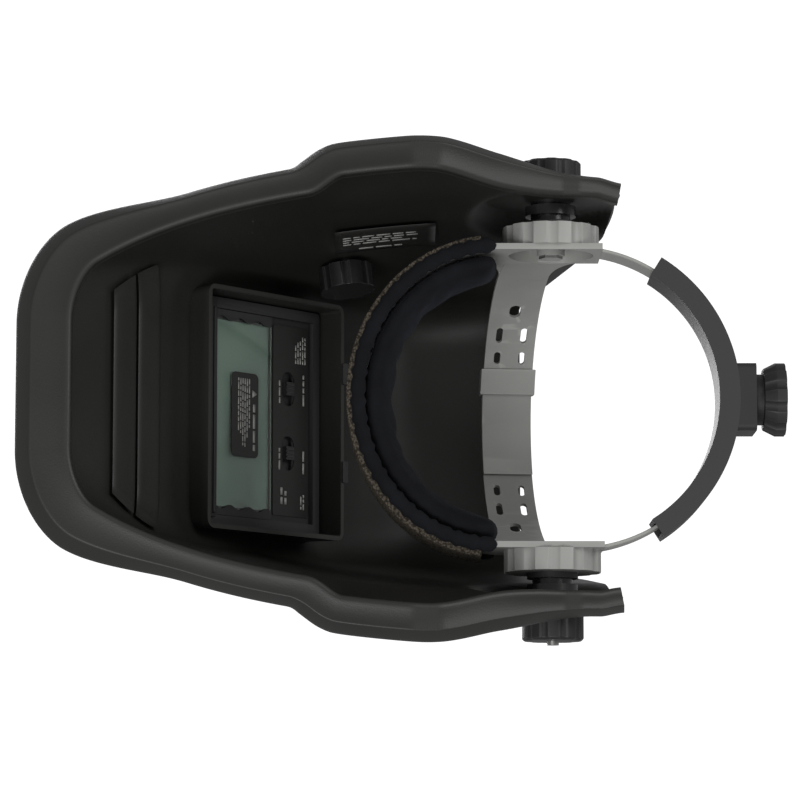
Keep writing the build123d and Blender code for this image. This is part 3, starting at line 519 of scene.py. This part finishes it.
def lipGrid(path):
    # the flange's profile carried along the rim; its width swells towards the chin
    along = np.gradient(path[:, :2], axis=0)
    for _ in range(lip["smoothing"]):
        along = (np.roll(along, 1, 0) + 2 * along + np.roll(along, -1, 0)) / 4
        along[0], along[-1] = along[1], along[-2]
    along /= np.linalg.norm(along, axis=1, keepdims=True)
    out = np.stack([along[:, 1], -along[:, 0]], axis=1)
    y = path[:, 1]
    width = lip["side"] + (lip["front"] - lip["side"]) * smoothStep(-y, *lip["frontAt"])
    width = width + lip["step"] * smoothStep(y, *lip["stepAt"])
    width = width * (1 - lip["narrowing"] * smoothStep(y, *lip["narrowAt"]))
    # profile: (share of width, more distance, height), from the inner bead round and back
    profile = np.array([
        (0, -2.5, 6.0), (0, -2.55, 1.0), (0, -2.5, -0.6), (0, -2.0, -1.7), (0, -0.9, -2.3),
        (0, 0.4, -2.4), (0, 1.6, -2.1), (0.3, 0.6, -1.8), (0.62, 0, -1.9), (0.66, 0, -2.1),
        (0.69, 0, -2.0), (0.72, 0, -1.4), (0.95, 0, 6.0), (1.0, -0.1, 7.9), (1.0, 0, 8.8),
        (1.0, -0.8, 9.4), (1.0, -1.8, 9.1), (0.94, -1.6, 7.6), (0.72, -1.4, 1.8), (0.6, -1.0, 0.9),
        (0.3, 0, 0.7), (0, 2.2, 0.9), (0, 0.6, 1.8), (0, 0.2, 4.5),
    ])
    distance = profile[None, :, 0] * width[:, None] + profile[None, :, 1]
    grid = np.empty((len(path), len(profile), 3))
    grid[..., 0] = path[:, None, 0] + out[:, None, 0] * distance
    grid[..., 1] = path[:, None, 1] + out[:, None, 1] * distance
    grid[..., 2] = path[:, None, 2] + profile[None, :, 2]
    return grid


frameBox = {
    # the raised box over the filter window, in the window's own plane: half sizes and depths
    "origin": (0.0, -149.768, 63.941),
    "turn": math.radians(41),
    "outer": (62.4, 51.4), "inner": (59.9, 48.9), "glass": (49.5, 22.0), "glassUp": -9.0,
    "outerCorner": 5, "innerCorner": 1.5, "glassCorner": 4, "bevel": 2.5, "taper": 0.9,
    "faceOut": 22.1, "roofOut": 19.6, "skirt": -14.0, "hollow": -28.0, "glassCut": (0, 40),
}
boltHole = {"radius": 10.05, "side": 100.0, "half": 30.0}


def onWindow(across, up, out):
    # from the window's own axes to the frame's
    s, c = math.sin(frameBox["turn"]), math.cos(frameBox["turn"])
    across, up, out = np.broadcast_arrays(across, up, out)
    y = frameBox["origin"][1] + up * s - out * c
    z = frameBox["origin"][2] + up * c + out * s
    return np.stack([frameBox["origin"][0] + across, y, z], axis=-1)


def roundedLoop(half, radius, count=8):
    # a rectangle with round corners, anticlockwise, as (across, up) points
    angle = np.linspace(0, math.pi / 2, count)
    arc = np.stack([np.cos(angle), np.sin(angle)], axis=1) * radius
    corner = np.array([half[0] - radius, half[1] - radius])
    first = corner + arc
    second = first[::-1] * (-1, 1)
    return np.concatenate([first, second, first * (-1, -1), first[::-1] * (1, -1)])


def windowSolid(half, low, high, radius, up=0.0, bevel=0.0, taper=0.0, across=0.0):
    # a closed block standing on the window plane, its outer edge rounded by the bevel
    steps = [(low, 0), (high - bevel, taper)]
    if bevel:
        turns = np.linspace(0.25, 1.57, 5)
        heights, insets = high - bevel * (1 - np.sin(turns)), taper + bevel * (1 - np.cos(turns))
        steps += list(zip(heights, insets))
    rings = []
    for out, inset in steps:
        loop = roundedLoop((half[0] - inset, half[1] - inset), max(radius - 0.5 * inset, 0.4))
        rings.append(onWindow(loop[:, 0] + across, loop[:, 1] + up, out))
    tool = bpy.data.objects.new("windowBlock", tubeMesh("windowBlock", np.array(rings)))
    bpy.context.scene.collection.objects.link(tool)
    return tool


def roundBar(centre, axis, radius, half, sides=64):
    # a plain bar along an axis, used to cut round holes
    work = bmesh.new()
    turn = Vector(axis).to_track_quat("Z", "Y").to_matrix().to_4x4()
    place = Matrix.Translation(Vector(centre)) @ turn
    bmesh.ops.create_cone(work, cap_ends=True, segments=sides, radius1=radius, radius2=radius,
                          depth=2 * half, matrix=place)
    mesh = bpy.data.meshes.new("cutter")
    work.to_mesh(mesh)
    work.free()
    tool = bpy.data.objects.new("cutter", mesh)
    bpy.context.scene.collection.objects.link(tool)
    return tool


def combine(piece, tool, how):
    step = piece.modifiers.new(how, "BOOLEAN")
    step.operation = how
    step.solver = "EXACT"
    step.object = tool
    applied(piece)
    bpy.data.objects.remove(tool)


def buildShell():
    grid = bowlGrid()
    faces = gridFaces(*grid.shape[:2])[:, ::-1]
    piece = makePiece("shellBowl", grid * mm, faces, "shell_body", "shell", ("shell",), 50)
    wall = piece.modifiers.new("wall", "SOLIDIFY")
    wall.thickness = shell["wall"] * mm
    wall.offset = -1
    applied(piece)
    box = frameBox
    block = windowSolid(box["outer"], box["skirt"], box["faceOut"], box["outerCorner"],
                        bevel=box["bevel"], taper=box["taper"])
    combine(piece, block, "UNION")
    pocket = windowSolid(box["inner"], box["hollow"], box["roofOut"], box["innerCorner"])
    combine(piece, pocket, "DIFFERENCE")
    opening = windowSolid(box["glass"], *box["glassCut"], box["glassCorner"], box["glassUp"])
    combine(piece, opening, "DIFFERENCE")
    for side in (-1, 1):
        centre = (side * boltHole["side"] * mm, 0, 0)
        bar = roundBar(centre, (1, 0, 0), boltHole["radius"] * mm, boltHole["half"] * mm)
        combine(piece, bar, "DIFFERENCE")
    piece.data.materials.clear()
    piece.data.materials.append(materials["shell"])
    piece.data.polygons.foreach_set("use_smooth", np.ones(len(piece.data.polygons), dtype=bool))
    piece.data.set_sharp_from_angle(angle=math.radians(40))
    return piece, grid


bowl, bowlRows = buildShell()
lipMesh = tubeMesh("shellLip", lipGrid(lipPath(bowlRows)))
finishPiece("shellLip", lipMesh, "shell_body", "shell", (), 60)
print("shell made")

# moulded parts with rounded edges
rounded = [
    # node, body, slot, finish, width of the rounding in mm
    ("headband", "headgear", "grey_plastic", "grey", 0.8),
    ("crown_strap_left", "headgear", "grey_plastic", "grey", 0.45),
    ("crown_strap_right", "headgear", "grey_plastic", "grey", 0.45),
    ("crown_keeper", "headgear", "grey_plastic", "grey", 0.4),
    ("filter_holder", "holder_body", "dark_plastic", "dark", 0.6),
    ("retainer_bar", "holder_body", "dark_plastic", "dark", 0.4),
    ("ratchet_housing", "rear_yoke", "dark_plastic", "dark", 1.2),
    ("ratchet_knob", "ratchet_knob_body", "dark_plastic", "dark", 0.7),
    ("tension_knob_left", "left_knob_body", "dark_plastic", "dark", 0.6),
    ("tension_knob_right", "right_knob_body", "dark_plastic", "dark", 0.6),
    ("shade_knob", "shade_knob_body", "gloss_black", "gloss", 0.7),
    ("shade_pot_cover", "shell_body", "dark_plastic", "gloss", 0.7),
]
for node, body, slot, look, width in rounded:
    roundedCopy(node, body, look, width * mm)
print("rounded copies:", len(rounded))

# the rear straps leave the headband and slide with the ratchet
rearStrap = {"start": (0, 0.027, 0), "end": (0, 0.052, 0), "round": 0.35}


def buildRearStrap(node):
    mesh = nodes[node].data.copy()
    cleanMesh(mesh, 2e-6)
    mesh.name = node + "Body"
    strap = finishPiece(node + "Body", mesh, None, "grey", (node,), 30)
    edges = strap.modifiers.new("roundedEdges", "BEVEL")
    edges.width = rearStrap["round"] * mm
    edges.limit_method = "ANGLE"
    applied(strap)
    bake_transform(strap)


for node in ("rear_strap_left", "rear_strap_right"):
    buildRearStrap(node)

# sweatband
sweatband = {
    "halfWidth": 72.7, "depth": 66.7, "centreY": -28.0,   # outer face of the roll, an oval
    "thick": 13.0, "height": 46.0, "shrink": 1.0, "turns": (178, 362), "power": 0.62,
    "endStretch": 0.09, "endSize": 0.35, "heldShare": 0.955,
    "pressure": 4.0, "tension": 12, "bending": 0.4, "voxel": 5.0, "cap": 5.0, "frames": 20,
}


def ovalRoll():
    # a rounded bar swept along the front half of an oval; the section is a squashed circle
    # with flat sides, and it closes over in a dome at both ends
    half = sweatband["thick"] / 2 - sweatband["shrink"]
    tall = sweatband["height"] / 2 - sweatband["shrink"]
    a = sweatband["halfWidth"] - sweatband["thick"] / 2
    b = sweatband["depth"] - sweatband["thick"] / 2
    first, last = sweatband["turns"]
    t = np.linspace(math.radians(first), math.radians(last), 96)
    turn = np.linspace(0, 2 * math.pi, 40, endpoint=False)
    power = sweatband["power"]
    wide = half * np.sign(np.cos(turn)) * np.abs(np.cos(turn)) ** power
    high = tall * np.sign(np.sin(turn)) * np.abs(np.sin(turn)) ** power
    # shrink the section to a point over the last stretch of each end, along a quarter circle
    reach = np.minimum(t - t[0], t[-1] - t) / sweatband["endStretch"]
    fade = np.sqrt(np.clip(1 - (1 - np.clip(reach, 0, 1)) ** 2, 0.0004, 1))
    fade = sweatband["endSize"] + (1 - sweatband["endSize"]) * fade
    outward = np.stack([np.cos(t) / a, np.sin(t) / b], axis=1)
    outward /= np.linalg.norm(outward, axis=1, keepdims=True)
    points = np.empty((len(t), len(turn), 3))
    points[..., 0] = (a * np.cos(t))[:, None] + outward[:, 0:1] * wide * fade[:, None]
    points[..., 1] = (sweatband["centreY"] + b * np.sin(t))[:, None] + outward[:, 1:2] * wide * fade[:, None]
    points[..., 2] = high * fade[:, None]
    return points


def inRoll(points):
    # across, ahead and share of the way out, where 1 is the roll's outer face
    x, y = points[:, 0] / mm, points[:, 1] / mm - sweatband["centreY"]
    return x, y, np.hypot(x / sweatband["halfWidth"], y / sweatband["depth"])


def padRoll(roll):
    # cloth under pressure swells the roll; the face towards the headband is stitched down and stays
    remesh = roll.modifiers.new("voxels", "REMESH")
    remesh.mode = "VOXEL"
    remesh.voxel_size = sweatband["voxel"] * mm
    applied(roll)
    before = pointsOf(roll.data)
    held = roll.vertex_groups.new(name="held")
    held.add(np.flatnonzero(inRoll(before)[2] > sweatband["heldShare"]).tolist(), 1.0, "REPLACE")
    cloth = roll.modifiers.new("padding", "CLOTH")
    cloth.settings.use_pressure = True
    cloth.settings.uniform_pressure_force = sweatband["pressure"]
    cloth.settings.effector_weights.gravity = 0
    cloth.settings.vertex_group_mass = "held"
    cloth.settings.tension_stiffness = sweatband["tension"]
    cloth.settings.bending_stiffness = sweatband["bending"]
    cloth.point_cache.frame_start = 1
    cloth.point_cache.frame_end = sweatband["frames"]
    for step in range(1, sweatband["frames"] + 1):
        bpy.context.scene.frame_set(step)
    mesh = applied(roll)
    move = pointsOf(mesh) - before
    length = np.linalg.norm(move, axis=1, keepdims=True)
    print("sweatband moved in mm, mean and most:", np.round([length.mean() / mm, length.max() / mm], 2))
    move *= np.minimum(1, sweatband["cap"] * mm / np.maximum(length, 1e-9))
    moved = before + move
    # it rests against the inside of the headband
    x, y, share = inRoll(moved)
    over = np.where(y < 0, np.maximum(share, 1), 1)
    moved[:, 0] /= over
    moved[:, 1] = (y / over + sweatband["centreY"]) * mm
    mesh.vertices.foreach_set("co", moved.ravel())
    bpy.context.scene.frame_set(1)
    roll.vertex_groups.clear()


def buildSweatband():
    roll = bpy.data.objects.new("sweatRoll", tubeMesh("sweatRoll", ovalRoll()))
    bpy.context.scene.collection.objects.link(roll)
    padRoll(roll)
    smooth = roll.modifiers.new("soften", "SUBSURF")
    smooth.levels = smooth.render_levels = 1
    mesh = applied(roll)
    bpy.data.objects.remove(roll)
    piece = finishPiece("sweatRoll", mesh, "headgear", "fabric", ("sweatband",), 80)


buildSweatband()
print("sweatband made")

# foam strip behind the headband
foam = {
    "halfWidth": 76.3, "depth": 70.3, "centreY": -28.0, "thick": 4.5, "height": 40.0,
    "rough": 0.45, "turns": (186, 354), "corner": 0.8, "spacing": 1.2, "edge": 1.5,
}


def foamSection():
    # the strip's rounded outline with extra points along its long sides
    outline = roundedLoop((foam["thick"] / 2, foam["height"] / 2), foam["corner"], 4)
    edges = np.roll(outline, -1, axis=0) - outline
    counts = np.maximum(1, (np.linalg.norm(edges, axis=1) / foam["spacing"]).astype(int))
    start = np.repeat(np.arange(len(outline)), counts)
    step = np.arange(len(start)) - np.repeat(np.cumsum(counts) - counts, counts)
    return outline[start] + edges[start] * (step / counts[start])[:, None]


def buildFoam():
    # a strip bent round the front of the headband; its cut faces are pitted by noise
    first, last = foam["turns"]
    t = np.linspace(math.radians(first), math.radians(last), 420)
    section = foamSection()
    thick, tall = section[None, :, 0], section[None, :, 1]
    a, b = foam["halfWidth"] + foam["thick"] / 2, foam["depth"] + foam["thick"] / 2
    outward = np.stack([np.cos(t) / a, np.sin(t) / b], axis=1)
    outward /= np.linalg.norm(outward, axis=1, keepdims=True)
    pits = np.abs(rng.normal(0, foam["rough"] / 2.2, (len(t), len(section))))
    reach = thick - np.sign(thick) * pits * np.where(thick > 0, 1, 0.2)
    onEdge = np.abs(tall) > foam["height"] / 2 - foam["edge"]
    points = np.empty((len(t), len(section), 3))
    points[..., 0] = (a * np.cos(t))[:, None] + outward[:, 0:1] * reach
    points[..., 1] = (foam["centreY"] + b * np.sin(t))[:, None] + outward[:, 1:2] * reach
    points[..., 2] = tall - np.sign(tall) * pits * onEdge
    mesh = tubeMesh("foamStrip", points)
    piece = finishPiece("foamStrip", mesh, "headgear", "foam", ("sweatband_foam",), 70)


buildFoam()
print("foam made")

# fabric hem over the headband's edge
hem = {
    "halfWidth": 74.8, "depth": 68.8, "centreY": -28.0, "half": 3.6, "tall": 2.3, "edge": 22.4,
    "endStretch": 0.05, "puckers": (0.10, 61), "finePuckers": (0.06, 97),    # size, waves
}


def buildHem():
    # the knit wraps over both edges of the band: a flattened bead along the oval, gently puckered
    t = np.linspace(math.radians(180), math.radians(360), 260)
    turn = np.linspace(0, 2 * math.pi, 16, endpoint=False)
    outward = np.stack([np.cos(t) / hem["halfWidth"], np.sin(t) / hem["depth"]], axis=1)
    outward /= np.linalg.norm(outward, axis=1, keepdims=True)
    fromEnd = np.clip(np.minimum(t - t[0], t[-1] - t) / hem["endStretch"], 0, 1)
    fade = np.sqrt(np.clip(1 - (1 - fromEnd) ** 2, 0.01, 1))
    size, waves = hem["puckers"]
    fineSize, fineWaves = hem["finePuckers"]
    pucker = 1 + size * np.sin(t * waves) + fineSize * np.sin(t * fineWaves + 1)
    reach = hem["half"] * np.cos(turn)[None, :] * (pucker * fade)[:, None]
    for side in (-1, 1):
        points = np.empty((len(t), len(turn), 3))
        points[..., 0] = (hem["halfWidth"] * np.cos(t))[:, None] + outward[:, 0:1] * reach
        points[..., 1] = (hem["centreY"] + hem["depth"] * np.sin(t))[:, None] + outward[:, 1:2] * reach
        points[..., 2] = side * (hem["edge"] + hem["tall"] * np.sin(turn)[None, :] * fade[:, None])
        name = "sweatHem" + ("Upper" if side > 0 else "Lower")
        finishPiece(name, tubeMesh(name, points), "headgear", "fabric", (), 80)


buildHem()
print("hem made")

# flared roots of the crown strap
root = {
    "halfBand": 74.5, "rise": 86.2, "low": 20.5, "high": 52.0, "foot": 22, "footY": -9.0,
    "half": 12.9, "flare": 13.0, "flarePower": 2.2, "lean": math.radians(7), "thick": 1.8,
    "cover": 1.06, "offset": -0.9, "round": 0.4,
}


def buildStrapRoots():
    # the strap widens in a smooth curve where it runs into the headband
    up = np.linspace(0, 1, 24)[:, None]
    across = np.linspace(-1, 1, 31)[None, :]
    z = root["low"] + (root["high"] - root["low"]) * up
    half = root["half"] + root["flare"] * (1 - up) ** root["flarePower"]
    over = np.maximum(z - root["foot"], 0)
    x = root["halfBand"] * np.sqrt(1 - (over / root["rise"]) ** 2) + root["thick"] / 2
    y = root["footY"] - over * math.tan(root["lean"]) + half * across
    x, y, z = np.broadcast_arrays(x, y, z)
    for side in (-1, 1):
        points = np.stack([side * x, y, z], axis=-1)
        faces = gridFaces(*x.shape)
        faces = faces[:, ::-1] if side < 0 else faces
        name = "strapRoot" + ("Left" if side > 0 else "Right")
        piece = makePiece(name, points * mm, faces, "headgear", "grey")
        solid = piece.modifiers.new("thickness", "SOLIDIFY")
        solid.thickness = root["thick"] * mm * root["cover"]
        solid.offset = root["offset"]
        edges = piece.modifiers.new("edges", "BEVEL")
        edges.width = root["round"] * mm
        edges.segments = 2


buildStrapRoots()
print("strap roots made")

# generic printing on label, panel and side film
prints = {
    "length": (1.6, 5.0), "gap": 0.7, "line": 1.9,    # shares of a bar's height
    "ragged": 0.35, "thick": 0.08,
    "labelOut": 1.42, "panelOut": 2.62, "panelTop": 28,
    # each row: left, right, top, lines, height, seed
    "label": [(-6, 19, -7.6, 1, 1.7, 3), (-19, 19, -3.6, 6, 0.85, 4)],
    "panel": [
        (31, 46, -11.5, 5, 0.95, 11), (9, 27, -10.5, 1, 1.25, 12), (-27, -9, -10.5, 1, 1.25, 13),
        (9, 26, 8.0, 1, 1.1, 14), (-26, -9, 8.0, 1, 1.1, 15), (-46, -36, -10.5, 2, 1.0, 16),
        (-44, -34, 3.0, 2, 1.6, 17),
    ],
    "film": [(12, 46, 4, 1, 2.0, 21), (4, 47, 12, 4, 1.8, 22)],
    "triangle": [(-13.5, -5.4), (-9.5, -5.4), (-11.5, -8.8)],
}
film = {"y": (-109.0, -58.0), "z": (2.0, 36.0), "off": 2.75, "thick": 0.3}


def barCorners(left, right, top, lines, size, seed):
    # lines of short bars of uneven length, as the (along, down) corners of each
    dice = np.random.default_rng(seed)
    bars = []
    for line in range(lines):
        down = top + line * size * prints["line"]
        along = left
        end = right - dice.uniform(0, prints["ragged"]) * (right - left)
        while along < end - size:
            stop = min(along + dice.uniform(*prints["length"]) * size, end)
            bars.append((along, stop, down, down + size))
            along = stop + prints["gap"] * size
    near, far, high, low = np.array(bars).T
    return np.stack([near, high, far, high, far, low, near, low], axis=-1).reshape(-1, 2)


def onLabel(spots):
    return onWindow(-spots[:, 0], frameBox["glassUp"] + 1 - spots[:, 1], prints["labelOut"])


def onPanel(spots):
    return onWindow(spots[:, 0], prints["panelTop"] - spots[:, 1], prints["panelOut"])


def onWall(y, z, off):
    # points on the inside of the left side wall
    y, z = np.broadcast_arrays(y, z)
    return np.stack([sideWidth(y) - (z - shell["rimZ"]) * shell["draft"] - off, y, z], axis=-1)


def onFilm(spots):
    return onWall(film["y"][0] + spots[:, 0], film["z"][1] - spots[:, 1], film["off"] + film["thick"])


def thickened(piece, name, thick):
    solid = piece.modifiers.new(name, "SOLIDIFY")
    solid.thickness = thick * mm
    solid.offset = 0


def printPiece(name, points, body, count=4):
    faces = np.arange(len(points)).reshape(-1, count)
    piece = makePiece(name, points * mm, faces, body, "print")
    thickened(piece, "ink", prints["thick"])


def buildPrints():
    # generic bars and one plain triangle stand in for all lettering
    label = np.concatenate([onLabel(barCorners(*row)) for row in prints["label"]])
    printPiece("labelPrint", label, "holder_body")
    printPiece("labelMark", onLabel(np.array(prints["triangle"])), "holder_body", count=3)
    panel = np.concatenate([onPanel(barCorners(*row)) for row in prints["panel"]])
    printPiece("panelPrint", panel, "holder_body")
    along = np.linspace(*film["y"], 12)[None, :]
    upward = np.linspace(*film["z"], 6)[:, None]
    sheet = onWall(along, upward, film["off"])
    piece = makePiece("sideFilm", sheet * mm, gridFaces(6, 12), "shell_body", "label")
    thickened(piece, "film", film["thick"])
    side = np.concatenate([onFilm(barCorners(*row)) for row in prints["film"]])
    printPiece("sideFilmPrint", side, "shell_body")


buildPrints()
print("prints made")

# ridges inside the front wall, latch tabs, lens clips
ridges = {
    "rows": (-214.0, -203.0), "width": 5.0, "height": 0.6, "reach": 0.62, "sunk": 0.4, "ends": 0.06,
}


def buildRidge(name, middle):
    # a low rib across the inside of the front wall: the wall's inner face, raised by half a sine
    across = np.linspace(-ridges["reach"], ridges["reach"], 120)[:, None]
    turn = np.linspace(0, math.pi, 9)[None, :]
    y = middle + ridges["width"] * np.cos(turn) + 0 * across
    v = 1 - np.abs(across) + 0 * turn
    step = 0.01
    x, z = bowlSection(y, v)
    x2, z2 = bowlSection(y, np.clip(v - step, 0, 1))
    x3, z3 = bowlSection(y + 0.5, v)
    along = np.stack([x2 - x, 0 * x, z2 - z], axis=-1)
    back = np.stack([x3 - x, 0 * x + 0.5, z3 - z], axis=-1)
    normal = np.cross(along, back)
    normal /= np.linalg.norm(normal, axis=-1, keepdims=True)
    normal *= np.sign(normal[..., 2:3])
    fade = np.clip((ridges["reach"] - np.abs(across)) / ridges["ends"], 0, 1)
    rise = (ridges["height"] + ridges["sunk"]) * np.sin(turn) * fade
    depth = shell["wall"] - ridges["sunk"] + rise
    points = np.stack([x, y, z], axis=-1) - normal * depth[..., None]
    points[..., 0] *= np.sign(across)
    makePiece(name, points * mm, gridFaces(*x.shape), "shell_body", "shell")


for number, middle in enumerate(ridges["rows"]):
    buildRidge("chinRidge" + str(number + 1), middle)

latchTab = {"half": (5.6, 2.0), "out": (-15, -10.5), "corner": 0.8, "up": 51.5, "bevel": 0.5, "across": 26}
switchWell = {"half": (9.2, 4.9), "out": (5.46, 5.58), "corner": 2.0, "up": 26, "bevel": 0.0, "across": 17}


def buildPair(name, block, body, look):
    # the same block to the right and to the left of the window's middle
    for side, word in ((-1, "Right"), (1, "Left")):
        solid = windowSolid(block["half"], *block["out"], block["corner"], up=block["up"],
                            bevel=block["bevel"], across=side * block["across"])
        finishPiece(name + word, solid.data, body, look)
        bpy.data.objects.remove(solid)


buildPair("latchTab", latchTab, "shell_body", "gloss")
buildPair("switchWell", switchWell, "holder_body", "dark")    # dark floors of the recesses

clip = {
    "inner": 48.8, "outer": 53.2, "wave": 1.1, "pitch": 13.7, "low": -29.5, "high": 11.5,
    "out": (0.9, 1.75),
}


def buildLensClip(name, side):
    # a flat spring clip over the end of the lens, its inner edge a sine wave
    up = np.linspace(clip["low"], clip["high"], 60)
    wave = clip["inner"] + clip["wave"] * np.sin((up - clip["low"]) * 2 * math.pi / clip["pitch"])
    corners = np.array([[clip["outer"], clip["high"]], [clip["outer"], clip["low"]]])
    loop = np.concatenate([np.stack([wave, up], axis=1), corners])
    rings = np.stack([onWindow(side * loop[:, 0], loop[:, 1], out) for out in clip["out"]])
    finishPiece(name, tubeMesh(name, rings), "holder_body", "dark")


buildLensClip("lensClipLeft", 1)
buildLensClip("lensClipRight", -1)
print("small details made")

# floor
ground = {"half": 8, "height": -3.2}
floor = bpy.data.meshes.new("floor")
corners = np.array([(-1, -1), (1, -1), (1, 1), (-1, 1)]) * ground["half"]
floor.from_pydata([(x, y, ground["height"]) for x, y in corners.tolist()], [], [(0, 1, 2, 3)])
floorPiece = bpy.data.objects.new("floor", floor)
bpy.context.scene.collection.objects.link(floorPiece)
floor.materials.append(newMaterial("paleFloor", (0.8, 0.8, 0.79), 0.7)[0])
